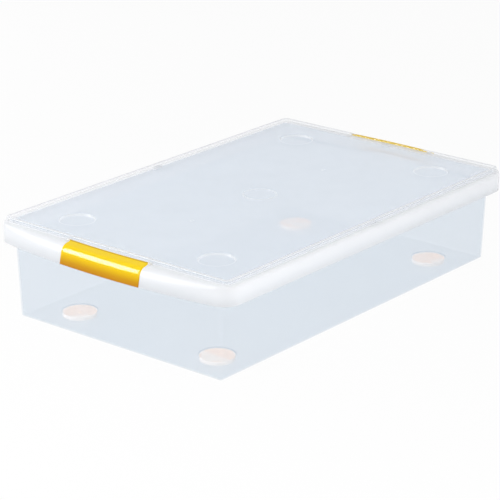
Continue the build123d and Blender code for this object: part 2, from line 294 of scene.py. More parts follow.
def lid_rings(sizes):
    """Matched plan lines of the lid, one point of each per station round it.

    The outline is straight along the sides, an arc of corner_r at each corner, and an arc of a
    large circle over each end. That circle is the one through the end's middle and the two points
    end_rise further in at the sides. The bead's middle line is a rounded rectangle. Each is made
    for one quarter, from the side's middle to the end's middle, and mirrored.
    Returns the outline, its outward directions, the bead's line and its outward directions.
    """
    bow_r = (sizes.side_y**2 + sizes.end_rise**2) / (2 * sizes.end_rise)
    bow_x = sizes.end_x - bow_r
    inner_y = sizes.side_y - sizes.corner_r
    corner_x = bow_x + math.sqrt((bow_r - sizes.corner_r) ** 2 - inner_y**2)
    lean = math.atan2(inner_y, corner_x - bow_x)
    bead_x = sizes.end_x - sizes.bead_end - sizes.bead_corner
    bead_y = sizes.side_y - sizes.bead_side - sizes.bead_corner
    side = np.linspace(0, 1, 16)[:-1]
    turn = np.linspace(0, 1, 22)
    notch = sizes.hook_half / (bow_r * math.sin(lean))
    step = 0.05 * MM / sizes.hook_half
    past = [np.linspace(1, notch * 1.06, 14)[1:], notch * np.array([1 + step, 1 - step])]
    end = np.concatenate([*past, np.linspace(notch * 0.94, 0, 12)])

    def line(start, corner_centre, radius, last, end_points):
        """Points and directions of one quarter: a straight side, an arc and an end."""
        flat = np.stack([side * start, np.full_like(side, corner_centre[1] + radius)], -1)
        angle = np.pi / 2 + turn * (last - np.pi / 2)
        way = np.stack([np.cos(angle), np.sin(angle)], -1)
        arc_points = np.array(corner_centre) + radius * way
        ways = [np.tile([0.0, 1.0], (len(side), 1)), way, end_points[1]]
        return np.concatenate([flat, arc_points, end_points[0]]), np.concatenate(ways)

    swing = np.arcsin(end * math.sin(lean))
    end_way = np.stack([np.cos(swing), np.sin(swing)], -1)
    bow = (np.array([bow_x, 0]) + bow_r * end_way, end_way)
    straight = np.stack([np.full_like(end, bead_x + sizes.bead_corner), end * bead_y], -1)
    flat_end = (straight, np.tile([1.0, 0.0], (len(end), 1)))
    outline = line(corner_x, (corner_x, inner_y), sizes.corner_r, lean, bow)
    bead = line(bead_x, (bead_x, bead_y), sizes.bead_corner, 0.0, flat_end)

    def all_round(quarter):
        half = np.concatenate([quarter, quarter[::-1][1:] * [1, -1]])
        return np.concatenate([half, half[::-1][1:-1] * [-1, 1]])

    return [all_round(part) for part in (*outline, *bead)]


def build_lid_rim(sizes):
    """The lid's skirt, rounded shoulder, land and raised bead, as one closed ring.

    Two parameters: the station round the lid and the step along the section. A step is either a
    distance in from the outline or a distance out from the bead's middle line, with a height. The
    section goes up the skirt, over the shoulder's arc, along the land, up and over the bead, and
    back underneath at one wall's distance. The shoulder's radius is the room beside the bead less
    the land, so it grows from the sides to the middle of the bowed ends, up to shoulder_r.
    """
    outline, out_way, bead, bead_way = lid_rings(sizes)
    half = sizes.bead_thick / 2
    top = LID_HIGH.z - sizes.bead_height
    room = ((outline - bead) * out_way).sum(1) - half * (bead_way * out_way).sum(1)
    radius = np.clip(room - sizes.shoulder_land, 4 * MM, sizes.shoulder_r)
    low = np.full(len(outline), LID_LOW.z)
    notched = (np.abs(outline[:, 1]) < sizes.hook_half) & (np.abs(outline[:, 0]) > bead.max())
    low[notched] += sizes.hook_notch
    wall, lip, foot = sizes.wall, sizes.lip, sizes.bead_foot
    steps = []

    def from_outline(inward, height):
        inward = np.broadcast_to(inward, radius.shape)[:, None]
        height = np.broadcast_to(height, radius.shape)[:, None]
        steps.append(np.concatenate([outline - out_way * inward, height], 1))

    def from_bead(outward, height):
        height = np.full((len(bead), 1), height)
        steps.append(np.concatenate([bead + bead_way * outward, height], 1))

    for share in np.linspace(0, 1, 5):
        angle = share * math.pi / 2
        from_outline(lip * (1 - math.sin(angle)), low + lip * (1 - math.cos(angle)))
    for share in (0.3, 0.65, 0.9):
        from_outline(0, low + lip + share * (top - radius - low - lip))
    for angle in np.linspace(0, math.pi / 2, 15):
        from_outline(radius * (1 - math.cos(angle)), top - radius * (1 - math.sin(angle)))
    for angle in np.radians((0, 30, 60, 90)):
        from_bead(half + foot * (1 - math.sin(angle)), top + foot * (1 - math.cos(angle)))
    edge = sizes.bead_edge
    crown = LID_HIGH.z - edge
    for angle in np.radians(np.linspace(0, 90, 7)):
        from_bead(half - edge * (1 - math.cos(angle)), crown + edge * math.sin(angle))
    for angle in np.radians(np.linspace(90, 0, 7)):
        from_bead(-half + edge * (1 - math.cos(angle)), crown + edge * math.sin(angle))
    from_bead(-half, top)
    from_bead(-half, top - wall)
    for angle in np.linspace(math.pi / 2, 0, 11):
        inner = radius - wall
        from_outline(radius - inner * math.cos(angle), top - radius + inner * math.sin(angle))
    for share in (0.9, 0.5):
        from_outline(wall, low + lip + share * (top - radius - low - lip))
    for share in np.linspace(1, 0, 4):
        angle = share * math.pi / 2
        from_outline(wall - lip * (1 - math.sin(angle)), low + lip * (1 - math.cos(angle)))
    grid = np.stack(steps)
    rows, columns = grid.shape[:2]
    faces = grid_faces(rows, columns, close_rows=True, close_columns=True)
    return facing_out(make_object("lid_rim", grid.reshape(-1, 3), [faces]))


def smooth_step(share):
    """0 below 0, 1 above 1, and between them three times the square less twice the cube."""
    share = np.clip(share, 0, 1)
    return share * share * (3 - 2 * share)


def panel_features(sizes, castor):
    """The panel's round features: middle, radius, rise, width of the step and of a ring."""
    sides = (-1, 1)
    dishes = [(x * castor.x, y * castor.y) for x in sides for y in sides]
    gates = [(x * sizes.gate_x, 0) for x in sides]
    features = [(place, sizes.dish_r, -sizes.dish_depth, sizes.dish_step, None) for place in dishes]
    features.append(((0, 0), sizes.ring_r, sizes.ring_height, sizes.ring_step, sizes.ring_thick))
    gate = (sizes.gate_r, sizes.gate_height, sizes.gate_step, None)
    return features + [(place, *gate) for place in gates]


def spread_round(half, count, centres, radii):
    """Even grid coordinates from -half to half, but near each centre those of its own circles.

    The circles' radii grow evenly to 3 mm inside the feature's edge, then step over the edge at
    1.6, 1.1, 0.5 and 0 mm from it, and grow evenly again to BENT times its radius.
    """
    coordinates = np.linspace(-half, half, count)
    for centre, radius in zip(centres, radii):
        edge = radius - np.array([1.6, 1.1, 0.5, 0.0]) * MM
        inside = np.linspace(0, radius - 3 * MM, 7)
        outside = np.linspace(radius + 2 * MM, BENT * radius, 7)
        out = np.concatenate([inside, edge, outside])
        coordinates = coordinates[np.abs(coordinates - centre) > 1.93 * radius]
        coordinates = np.concatenate([coordinates, centre + out, centre - out[1:]])
    return np.sort(coordinates)


def panel_lines(sizes, half_x, half_y, castor):
    """Places of the panel's grid lines along and across it, closer at the round features."""
    radii = (sizes.dish_r, sizes.ring_r, sizes.dish_r)
    x = spread_round(half_x, 60, (-castor.x, 0, castor.x), radii)
    gate = sizes.gate_r * 2.5
    x = x[np.abs(np.abs(x) - sizes.gate_x) >= gate]
    close = np.linspace(-gate, gate, 17)
    x = np.sort(np.concatenate([x, close - sizes.gate_x, close + sizes.gate_x]))
    return x, spread_round(half_y, 44, (-castor.y, 0, castor.y), radii)


def bent_round(a, b, middle, radius):
    """The square grid near a middle bent to circles.

    A point at (a, b) from the middle goes to the same direction at the distance
    max(|a|, |b|), fully within ROUND times the radius and not at all from BENT times on.
    """
    from_x, from_y = a - middle[0], b - middle[1]
    square = np.maximum(np.abs(from_x), np.abs(from_y))
    distance = np.maximum(np.hypot(from_x, from_y), 1e-9)
    share = np.clip((BENT * radius - square) / ((BENT - ROUND) * radius), 0, 1)
    scale = 1 + share * (square / distance - 1)
    return middle[0] + from_x * scale, middle[1] + from_y * scale


def build_lid_panel(sizes):
    """The flat panel inside the bead, one wall thick, with four dishes, a thin ring and two gates.

    Two parameters across and along the panel, on a grid that is bent to circles near each round
    feature. Heights are smooth steps of the distance from the feature's middle. The rows end on
    a rounded rectangle, tucked a little into the bead. The attribute line is 1 on the features'
    edges and 0 from 1.2 mm beside them; the panel's finish paints a highlight along it.
    """
    tuck = 0.3 * MM
    half_x = sizes.end_x - sizes.bead_end - sizes.bead_thick / 2 + tuck
    half_y = sizes.side_y - sizes.bead_side - sizes.bead_thick / 2 + tuck
    corner = sizes.bead_corner - sizes.bead_thick / 2
    castor = (HOUSING_LOW + HOUSING_HIGH) / 2
    a, b = np.meshgrid(*panel_lines(sizes, half_x, half_y, castor), indexing="ij")
    height, line = np.zeros_like(a), np.zeros_like(a)
    for middle, radius, rise, step, thick in panel_features(sizes, castor):
        a, b = bent_round(a, b, middle, radius)
        inwards = radius - np.hypot(a - middle[0], b - middle[1])
        shape = smooth_step(inwards / step)
        if thick:
            shape = shape * smooth_step((thick - inwards) / step)
        height = height + rise * shape
        line = np.maximum(line, np.clip(1 - np.abs(inwards - 0.8 * MM) / (1.2 * MM), 0, 1))
    over = np.clip(np.abs(b) - (half_y - corner), 0, corner)
    a = a * (half_x - corner + np.sqrt(corner**2 - over**2)) / half_x
    top = LID_HIGH.z - sizes.bead_height + height
    upper, lower = np.stack([a, b, top], -1), np.stack([a, b, top - sizes.wall], -1)
    made = close_slab("lid_panel", upper, lower)
    # the attribute line marks where the panel's finish paints a highlight
    held = made.data.attributes.new("line", "FLOAT", "POINT")
    held.data.foreach_set("value", np.tile(line.ravel(), 2))
    return facing_out(made)


def close_slab(name, upper, lower):
    """A closed slab between two grids of the same shape, with a strip of quads along each edge."""
    rows, columns = upper.shape[:2]
    points = np.concatenate([upper.reshape(-1, 3), lower.reshape(-1, 3)])
    faces = grid_faces(rows, columns)
    index = np.arange(rows * columns).reshape(rows, columns)
    edge = np.concatenate([index[:-1, 0], index[-1, :-1], index[:0:-1, -1], index[0, :0:-1]])
    after = np.roll(edge, -1)
    below = rows * columns
    side = np.stack([edge, after, after + below, edge + below], -1)
    return make_object(name, points, [faces[:, ::-1], faces + below, side[:, ::-1]])


# ---- Buckle -----------------------------------------------------------------------------


def buckle_section(sizes, lid):
    """The buckle's section through its middle, a closed line in x and z.

    Lines: the top face leaves the barrel, with a strip next to it that is crease_depth lower, and
    slopes down so that its underside passes over_shoulder above the lid's shoulder arc; an arc of
    bend_r; the front face, leaning out by flare, down to the lower edge, which is rounded; then
    the same lines one wall further in; and the barrel's circle closes it.
    """
    bow_r = (lid.side_y**2 + lid.end_rise**2) / (2 * lid.end_rise)
    half = sizes.width / 2
    drop = bow_r - math.sqrt(bow_r**2 - half**2)
    hinge = np.array([HINGE.x + drop, HINGE.z])
    low = np.array([lid.end_x + sizes.proud, LID_LOW.z + sizes.edge])
    along = hinge[0] - (lid.end_x - lid.shoulder_r)
    above = hinge[1] - (LID_HIGH.z - lid.bead_height - lid.shoulder_r)
    gap = lid.shoulder_r + sizes.over_shoulder - (sizes.barrel_r - sizes.wall)
    slope = math.atan2(along, above) + math.acos(gap / math.hypot(along, above))
    top_way = np.array([math.sin(slope), math.cos(slope)])
    front_way = np.array([math.cos(sizes.flare), math.sin(sizes.flare)])
    down = np.array([top_way[1], -top_way[0]])

    def corner(inset):
        top = top_way @ hinge + sizes.barrel_r - inset
        front = front_way @ low - inset
        return np.linalg.solve(np.array([top_way, front_way]), np.array([top, front]))

    def bend(inset, count):
        radius = sizes.bend_r - inset
        middle = corner(inset) - radius * (top_way + front_way) / (1 + top_way @ front_way)
        angle = np.linspace(math.pi / 2 - slope, sizes.flare, count)[:, None]
        return middle + radius * np.concatenate([np.cos(angle), np.sin(angle)], 1)

    start = hinge + sizes.barrel_r * top_way
    outer = bend(0, 20)
    run = (outer[0] - start) @ down
    strip = np.linspace(0, sizes.crease_at, 6)
    crease = sizes.crease_at + np.array([0.3, 0.6, 0.9]) * MM
    along = np.concatenate([strip, crease, np.linspace(sizes.crease_at + 2 * MM, run, 8)[:-1]])
    rise = smooth_step((along - sizes.crease_at) / (0.6 * MM))
    sunk = sizes.crease_depth * (1 - rise) * np.clip(along / (1.5 * MM), 0, 1)
    top_line = start + down * along[:, None] - top_way * sunk[:, None]
    inner = bend(sizes.wall, 14)[::-1]
    lip = sizes.wall / 2
    fall = np.array([front_way[1], -front_way[0]])
    angle = np.radians(np.linspace(0, 180, 9))[:, None]
    edge = low - (front_way + fall) * lip + lip * (np.cos(angle) * front_way + np.sin(angle) * fall)
    front = outer[-1] + np.linspace(0, 1, 7)[1:-1, None] * (edge[0] - outer[-1])
    rear = edge[-1] + np.linspace(0, 1, 6)[1:-1, None] * (inner[0] - edge[-1])
    first = math.asin((sizes.wall - sizes.barrel_r) / sizes.barrel_r)
    turn = -slope - np.linspace(first, 1.5 * math.pi, 17)[:, None]
    barrel = hinge + sizes.barrel_r * np.concatenate([np.cos(turn), np.sin(turn)], 1)
    under = inner[-1] + np.linspace(0, 1, 7)[1:-1, None] * (barrel[0] - inner[-1])
    return np.concatenate([top_line, outer, front, edge, rear, inner, under, barrel[:-1]])


def joined(parts):
    """Several closed surfaces as one set of points and faces."""
    starts = np.cumsum([0] + [len(points) for points, _ in parts])
    faces = [block + start for (_, blocks), start in zip(parts, starts) for block in blocks]
    return np.concatenate([points for points, _ in parts]), faces


def rounded_ends(half, radius, middle):
    """Stations from -half to half, closer together at the ends, and how far each is drawn in.

    The drawing in follows a quarter circle: radius less the root of radius squared less the
    square of what is left of the radius from the end.
    """
    angle = np.linspace(0, np.pi / 2, 5)
    step = radius * (1 - np.cos(angle))
    inset = radius * (1 - np.sin(angle))
    run = np.linspace(-half + radius, half - radius, middle)[1:-1]
    stations = np.concatenate([-half + step, run, half - step[::-1]])
    return stations, np.concatenate([inset, np.zeros_like(run), inset[::-1]])


def carried(outline, stations, insets, place):
    """A closed outline carried along stations, with a flat face over each end.

    Each station's outline is moved inwards along its own directions by its inset, and place turns
    its two coordinates and the station into points in space.
    """
    along = np.roll(outline, -1, 0) - np.roll(outline, 1, 0)
    area = outline[:, 0] @ np.roll(outline[:, 1], -1) - outline[:, 1] @ np.roll(outline[:, 0], -1)
    way = np.stack([along[:, 1], -along[:, 0]], -1) * np.sign(area)
    way /= np.linalg.norm(way, axis=1, keepdims=True)
    rings = [place(outline - way * inset, station) for station, inset in zip(stations, insets)]
    count = len(outline)
    first = np.arange(count)
    last = first + count * (len(rings) - 1)
    walls = grid_faces(len(rings), count, close_columns=True)
    if area > 0:
        return np.concatenate(rings), [walls, first[None], last[None, ::-1]]
    return np.concatenate(rings), [walls[:, ::-1], first[None, ::-1], last[None]]


def about_bow(lid):
    """How a section at the end's middle is carried round the bow, cut square at its stations.

    A point at x stays at its distance r from the bow's centre, so at y it is at the centre plus
    the root of r squared less y squared.
    """
    bow_r = (lid.side_y**2 + lid.end_rise**2) / (2 * lid.end_rise)
    bow_x = lid.end_x - bow_r

    def place(section, y):
        x = bow_x + np.sqrt((section[:, 0] - bow_x) ** 2 - y**2)
        return np.stack([x, np.full_like(x, y), section[:, 1]], -1)

    return place


def upright(section, y):
    """A section in x and z placed at one y."""
    return np.stack([section[:, 0], np.full(len(section), y), section[:, 1]], -1)


def level(outline, z):
    """An outline in x and y placed at one height."""
    return np.column_stack([outline, np.full(len(outline), z)])


def rounded_outline(low, high, radius, count=5):
    """A rectangle between two corners with its corners rounded, anticlockwise."""
    low, high = np.array(low), np.array(high)
    corners = []
    for start, (side_a, side_b) in zip((0, 90, 180, 270), ((1, 1), (0, 1), (0, 0), (1, 0))):
        pick = np.array([high[0] if side_a else low[0], high[1] if side_b else low[1]])
        way = np.array([1 if side_a else -1, 1 if side_b else -1])
        corners.append(arc(*(pick - way * radius), radius, start, start + 90, count))
    return np.concatenate(corners)


def build_buckle(name, sizes, lid, turned):
    """One buckle: the bent plate, the hook's ledge with its ribs, and the two hinge pins.

    The plate and the ledge are sections carried round the lid's bow, the ribs and pins are
    sections carried straight across. The near one is the far one turned half a turn.
    """
    place = about_bow(lid)
    section = buckle_section(sizes, lid)
    plate = carried(section, *rounded_ends(sizes.width / 2, 0.5 * MM, 42), place)
    hook_top = LID_HIGH.z - sizes.hook_below
    lean = math.tan(sizes.flare)
    front = lid.end_x + sizes.proud - sizes.wall
    root = front - (hook_top - LID_LOW.z - sizes.edge) * lean + sizes.wall / 2
    tip = lid.end_x - sizes.hook_tip
    ledge = rounded_outline((tip, hook_top - sizes.hook_thick), (root, hook_top), 0.5 * MM)
    parts = [plate, carried(ledge, *rounded_ends(sizes.hook_width / 2, 0.4 * MM, 26), place)]
    low = hook_top - sizes.hook_thick + 0.2 * MM
    point = (root + lean * sizes.hook_thick, low - sizes.hook_thick)
    rib = np.array([((tip + root) / 2, low), point, (root, low)])
    pin = arc(HINGE.x, HINGE.z, sizes.pin_r, 0, 360, 25)[:-1]
    for count in (-1, 0, 1):
        middle = count * sizes.hook_width / 4
        moved = rib - [lid.end_x - place(np.array([[lid.end_x, 0.0]]), middle)[0, 0], 0]
        ends = rounded_ends(sizes.rib_thick / 2, 0.2 * MM, 3)
        parts.append(carried(moved, *ends, lambda s, y, m=middle: upright(s, y + m)))
    for side in (-1, 1):
        middle = side * (sizes.width / 2 + sizes.pin_out / 2 - 0.5 * MM)
        ends = rounded_ends(sizes.pin_out / 2 + 0.5 * MM, 0.35 * MM, 4)
        parts.append(carried(pin, *ends, lambda s, y, m=middle: upright(s, y + m)))
    points, faces = joined(parts)
    if turned:
        points = points * [-1, -1, 1]
    return make_object(name, points, faces)


def build_lugs(sizes, lid):
    """The four hinge lugs on the lid, each with a blind hole for a pin.

    A ring of points at equal angles about the pin is carried from the hole's floor to its mouth,
    out over the face, back along the outside and over the end. The outside is a circle above the
    pin and runs straight down into the lid below it.
    """
    angle = np.radians(np.arange(0, 360, 10))
    way = np.stack([np.cos(angle), np.sin(angle)], -1)
    radius = sizes.pin_r + sizes.lug_wall
    foot = HINGE.z - (LID_HIGH.z - lid.bead_height) + sizes.lug_sunk
    sideways = radius / np.maximum(np.abs(way[:, 0]), 1e-6)
    straight = np.minimum(sideways, foot / np.maximum(-way[:, 1], 1e-6))
    reach = np.where(way[:, 1] < 0, straight, radius)[:, None]
    start = sizes.width / 2 + sizes.lug_gap
    hole, depth, mouth = sizes.pin_r + sizes.pin_room, sizes.lug_hole, 0.2 * MM
    length, edge, cut = sizes.lug_length, 0.4 * MM, 0.12 * MM
    rows = [
        (0 * way, depth), (hole * way, depth), (hole * way, mouth), ((hole + mouth) * way, 0),
        ((reach - edge) * way, 0), ((reach - cut) * way, cut), (reach * way, edge),
        (reach * way, length - edge), ((reach - cut) * way, length - cut),
        ((reach - edge) * way, length), (0 * way, length),
    ]
    parts = []
    for side_x in (-1, 1):
        for side_y in (-1, 1):
            rings = [upright(ring + [HINGE.x, HINGE.z], start + out) for ring, out in rows]
            points = np.concatenate([rings[0][:1], *rings[1:-1], rings[-1][:1]])
            points = points * [side_x, side_y, 1]
            count, last = len(angle), len(points) - 1
            i = np.arange(count)
            j = (i + 1) % count
            walls = grid_faces(len(rows) - 2, count, close_columns=True) + 1
            floor = np.stack([np.zeros_like(i), j + 1, i + 1], -1)
            end = np.stack([np.full_like(i, last), i + last - count, j + last - count], -1)
            blocks = [walls, floor, end]
            if side_x * side_y < 0:
                blocks = [block[:, ::-1] for block in blocks]
            parts.append((points, blocks))
    return facing_out(make_object("lid_lugs", *joined(parts)))


def build_tabs(sizes):
    """Four low steps against the inside of the bead, in the middle of each side.

    Each is a rounded rectangle carried upwards and drawn in at the top along a quarter circle.
    """
    base = LID_HIGH.z - sizes.bead_height
    half = sizes.tab_width / 2
    parts = []
    reaches = (sizes.end_x - sizes.bead_end, sizes.side_y - sizes.bead_side)
    for turn, (cos, sin) in enumerate(((1, 0), (0, 1), (-1, 0), (0, -1))):
        reach = reaches[turn % 2]
        inner = reach - sizes.bead_thick / 2 - sizes.tab_depth
        outline = rounded_outline((inner, -half), (reach - sizes.bead_thick / 4, half), 1.2 * MM)
        outline = outline @ np.array([[cos, sin], [-sin, cos]])
        soft = sizes.tab_edge
        angle = np.linspace(0, np.pi / 2, 5)
        shoulder = base + sizes.tab_height - soft
        heights = np.concatenate([[base - 0.6 * MM], shoulder + soft * np.sin(angle)])
        inset = np.concatenate([[0], soft * (1 - np.cos(angle))])
        parts.append(carried(outline, heights, inset, level))
    return make_object("lid_tabs", *joined(parts))


# ---- Materials --------------------------------------------------------------------------


class Value:
    """A socket of a finish, so that sums on it are written as sums."""

    def __init__(self, finish, socket):
        self.finish = finish
        self.socket = socket

    def math(self, operation, *terms):
        """A Math node on these terms."""
        return self.finish.node("ShaderNodeMath", {"operation": operation}, dict(enumerate(terms)))

    def __add__(self, other):
        return self.math("ADD", self, other)

    def __radd__(self, other):
        return self.math("ADD", other, self)

    def __sub__(self, other):
        return self.math("SUBTRACT", self, other)

    def __rsub__(self, other):
        return self.math("SUBTRACT", other, self)

    def __mul__(self, other):
        return self.math("MULTIPLY", self, other)

    def __rmul__(self, other):
        return self.math("MULTIPLY", other, self)

    def size(self):
        """The value without its sign."""
        return self.math("ABSOLUTE", self)

    def ramp(self, low, high):
        """0 below low, 1 above high and a smooth rise between."""
        settings = {"interpolation_type": "SMOOTHSTEP"}
        return self.finish.node("ShaderNodeMapRange", settings, {"Value": self, 1: low, 2: high})


class Nodes:
    """A node tree being built, in which every node comes from one method."""

    def __init__(self, tree):
        self.tree = tree

    def node(self, kind, settings=None, inputs=None, output=0):
        """Any node: its type, its settings, and the values or links of its sockets."""
        made = self.tree.nodes.new(kind)
        for key, value in (settings or {}).items():
            setattr(made, key, value)
        for key, value in (inputs or {}).items():
            self.feed(made.inputs[key], value)
        return Value(self, made.outputs[output])

    def feed(self, socket, value):
        """Links a value to a socket, or sets the socket's own number or colour."""
        if isinstance(value, Value):
            self.tree.links.new(value.socket, socket)
        else:
            socket.default_value = value

    def seen(self):
        """1 for what the camera sees straight or in a glossy face, 0 for what only gives light."""
        straight = self.node("ShaderNodeLightPath", output="Is Camera Ray")
        return straight + self.node("ShaderNodeLightPath", output="Is Glossy Ray")


class Finish(Nodes):
    """A material being built: a Principled shader and the nodes that feed it."""

    def __init__(self, name, **constants):
        self.material = bpy.data.materials.new(name)
        self.material.use_nodes = True
        super().__init__(self.material.node_tree)
        self.shader = self.tree.nodes["Principled BSDF"]
        self.set(**constants)

    def set(self, **inputs):
        """Feeds sockets of the shader, named with underscores for spaces."""
        for key, value in inputs.items():
            self.feed(self.shader.inputs[key.replace("_", " ")], value)

    def place(self):
        """Object coordinates and their x, y and z."""
        point = self.node("ShaderNodeTexCoord", output=3)
        split = self.node("ShaderNodeSeparateXYZ", inputs={0: point}).socket.node
        return point, *(Value(self, split.outputs[axis]) for axis in "XYZ")

    def noise(self, point, scale, detail=3.0):
        """Cloudy values round one half."""
        inputs = {"Vector": point, "Scale": scale, "Detail": detail}
        return self.node("ShaderNodeTexNoise", inputs=inputs)

    def mix(self, share, first, second):
        """A colour between two colours."""
        inputs = {0: share, 6: first, 7: second}
        return self.node("ShaderNodeMix", {"data_type": "RGBA"}, inputs, output=2)

    def bump(self, height, depth):
        """A normal from a height, depth in metres for a height of one."""
        inputs = {"Height": height, "Distance": depth, "Strength": 1.0}
        return self.node("ShaderNodeBump", inputs=inputs)

    def see_through(self, solid, glow, colour, tint):
        """Shows what is behind, tinted, by 1 - solid, and lets light through it by glow."""
        lit = self.node("ShaderNodeBsdfTranslucent", inputs={"Color": colour})
        plain = Value(self, self.shader.outputs[0])
        body = self.node("ShaderNodeMixShader", inputs={0: glow, 1: plain, 2: lit})
        gap = self.node("ShaderNodeBsdfTransparent", inputs={"Color": opaque(tint)})
        shown = self.node("ShaderNodeMixShader", inputs={0: solid, 1: gap, 2: body})
        self.feed(self.tree.nodes["Material Output"].inputs["Surface"], shown)


def opaque(colour):
    """A colour with its alpha."""
    return (*colour, 1.0)


def shade(colour, factor):
    """A colour made lighter or darker."""
    return tuple(min(1.0, channel * factor) for channel in colour) + (1.0,)


def clear_finish(finishes):
    """The tub's plastic: smooth, faintly blue, cloudy in swirls and whiter at its folded rim."""
    finish = Finish("clear_plastic", IOR=1.49, Specular_IOR_Level=0.6)
    point, _, _, z = finish.place()
    fold = TUB_HIGH.z - 22 * MM
    lip = z.ramp(fold, fold + 6 * MM)
    cloud = finish.noise(point, 7.0, 2.0)
    grain = finish.noise(point, 900.0, 1.0)
    facing = finish.node("ShaderNodeLayerWeight", inputs={"Blend": 0.35}, output=1)
    tint = finish.mix(cloud, shade(finishes.clear, 0.97), shade(finishes.clear, 1.04))
    tint = finish.mix(lip, tint, opaque(finishes.rim))
    finish.set(Base_Color=tint, Roughness=0.1 + 0.08 * cloud, Normal=finish.bump(grain, 0.000004))
    solid = finishes.clear_share - 0.03 + 0.06 * cloud + 0.3 * (facing * facing)
    solid = solid + finishes.lip_share * lip
    finish.see_through(solid, finishes.glow, tint, finishes.clear_tint)
    return finish.material


def panel_finish(finishes):
    """The lid's panel: hazy, faintly blue, with a fine satin grain, and a painted highlight drawn
    as whitish lines along the edges of its dishes, ring and gates.
    """
    finish = Finish("lid_panel_plastic", IOR=1.49, Specular_IOR_Level=0.4)
    point, _, _, _ = finish.place()
    cloud = finish.noise(point, 9.0, 2.0)
    grain = finish.noise(point, 1600.0, 1.0)
    facing = finish.node("ShaderNodeLayerWeight", inputs={"Blend": 0.3}, output=1)
    line = finish.node("ShaderNodeAttribute", {"attribute_name": "line"}, output="Fac")
    plain = finish.mix(cloud, shade(finishes.panel, 0.98), shade(finishes.panel, 1.02))
    # painted highlight: the step edges drawn in the rim's whitish colour and more solid
    tint = finish.mix(line, plain, opaque(finishes.rim))
    finish.set(Base_Color=tint, Roughness=0.3 + 0.06 * cloud, Normal=finish.bump(grain, 0.000006))
    solid = finishes.panel_share + 0.04 * cloud + 0.2 * (facing * facing)
    solid = solid + finishes.line_painted_highlight_share * line
    finish.see_through(solid, finishes.glow, tint, finishes.lid_tint)
    return finish.material


def rim_finish(name, finishes, bead_share):
    """The lid's rim: frosted outside the bead, clearer on the bead's sides, with a painted
    highlight that whitens the bead's top edge and painted shade that darkens the skirt towards its
    lower edge.

    The top edge stays clear beside the far buckle, which shows through it.
    """
    finish = Finish(name, IOR=1.49, Specular_IOR_Level=0.5)
    point, x, y, z = finish.place()
    cloud = finish.noise(point, 9.0, 2.0)
    grain = finish.noise(point, 1600.0, 1.0)
    beside = x.ramp(0.3, 0.33) * (1 - y.size().ramp(0.068, 0.084))
    foot, crown = LID_HIGH.z - 6.4 * MM, LID_HIGH.z - 1.4 * MM
    bead = z.ramp(foot, foot + 1 * MM)
    # painted highlight: the bead's top edge is drawn more solid and so whiter, except beside the
    # far buckle
    crest = z.ramp(crown, crown + 1 * MM) * (1 - beside)
    facing = finish.node("ShaderNodeLayerWeight", inputs={"Blend": 0.3}, output=1)
    # painted shade: the skirt is drawn darker towards its lower edge, which gets less light than
    # its top
    high = z.ramp(LID_LOW.z, LID_HIGH.z - 22 * MM)
    tint = finish.mix(high, shade(finishes.rim, 0.92), opaque(finishes.rim))
    roughness = 0.36 - 0.12 * bead + 0.06 * cloud
    finish.set(Base_Color=tint, Roughness=roughness, Normal=finish.bump(grain, 0.000006))
    clearer = bead_share * (1 - 0.8 * beside) - finishes.rim_share
    solid = finishes.rim_share + clearer * bead + finishes.crest_painted_highlight_share * crest
    solid = solid + 0.04 * cloud + 0.2 * (facing * facing) * (1 - 0.8 * beside)
    finish.see_through(solid, finishes.rim_glow, tint, finishes.lid_tint)
    return finish.material


def buckle_finish(finishes):
    """The buckles' plastic: glossy yellow, with painted shade: darker and deeper towards the lower
    front face, and darkest in strips along the hinge and the lower edge.
    """
    finish = Finish("buckle_plastic", IOR=1.5, Specular_IOR_Level=0.2)
    point, _, _, z = finish.place()
    cloud = finish.noise(point, 30.0, 3.0)
    grain = finish.noise(point, 1200.0, 2.0)
    # painted shade: the plate is drawn darker and deeper yellow from near its top down to its lower
    # edge, as the front face gets less light than the top
    low = 1 - z.ramp(BUCKLE_LOW.z, BUCKLE_HIGH.z - 6 * MM)
    share = low + 0.1 * (cloud - 0.5)
    tint = finish.mix(share, opaque(finishes.buckle), opaque(finishes.buckle_front_painted_shade))
    # painted shade: darker strips along the hinge and along the lower edge, where the plate's edges
    # fall in shade
    hinge = z.ramp(BUCKLE_HIGH.z - 1.3 * MM, BUCKLE_HIGH.z - 0.8 * MM)
    edges = 1 + hinge - z.ramp(BUCKLE_LOW.z + 0.7 * MM, BUCKLE_LOW.z + 1.6 * MM)
    tint = finish.mix(0.5 * edges, tint, opaque(finishes.buckle_edge_painted_shade))
    finish.set(Base_Color=tint, Roughness=0.08 + 0.05 * cloud, Normal=finish.bump(grain, 0.000004))
    return finish.material


def castor_finish(finishes):
    """The castors' plastic: matt peach with a fine grain, with painted light: a faint emission
    stands in for the light that thin plastic lets through.
    """
    glow = opaque(finishes.castor)
    # painted light: the emission makes the castors glow brighter than the light that reaches them
    # under the tub
    finish = Finish("castor_plastic", IOR=1.48, Emission_Color=glow, Emission_Strength=0.2)
    point, _, _, _ = finish.place()
    cloud = finish.noise(point, 60.0, 3.0)
    grain = finish.noise(point, 1500.0, 2.0)
    finish.set(
        Base_Color=finish.mix(cloud, shade(finishes.castor, 0.95), shade(finishes.castor, 1.04)),
        Roughness=0.42 + 0.12 * cloud,
        Normal=finish.bump(grain, 0.000012),
    )
    return finish.material


def wheel_finish(finishes):
    """The wheels' plastic: a shade darker than the castors, dusty where they roll."""
    finish = Finish("wheel_plastic", IOR=1.48)
    point, _, _, _ = finish.place()
    dust = finish.noise(point, 220.0, 4.0)
    clean, dusty = shade(finishes.castor, 0.86), shade(finishes.castor, 0.76)
    finish.set(
        Base_Color=finish.mix(dust.ramp(0.35, 0.7), clean, dusty),
        Roughness=0.5 + 0.15 * dust,
        Normal=finish.bump(dust, 0.00002),
    )
    return finish.material


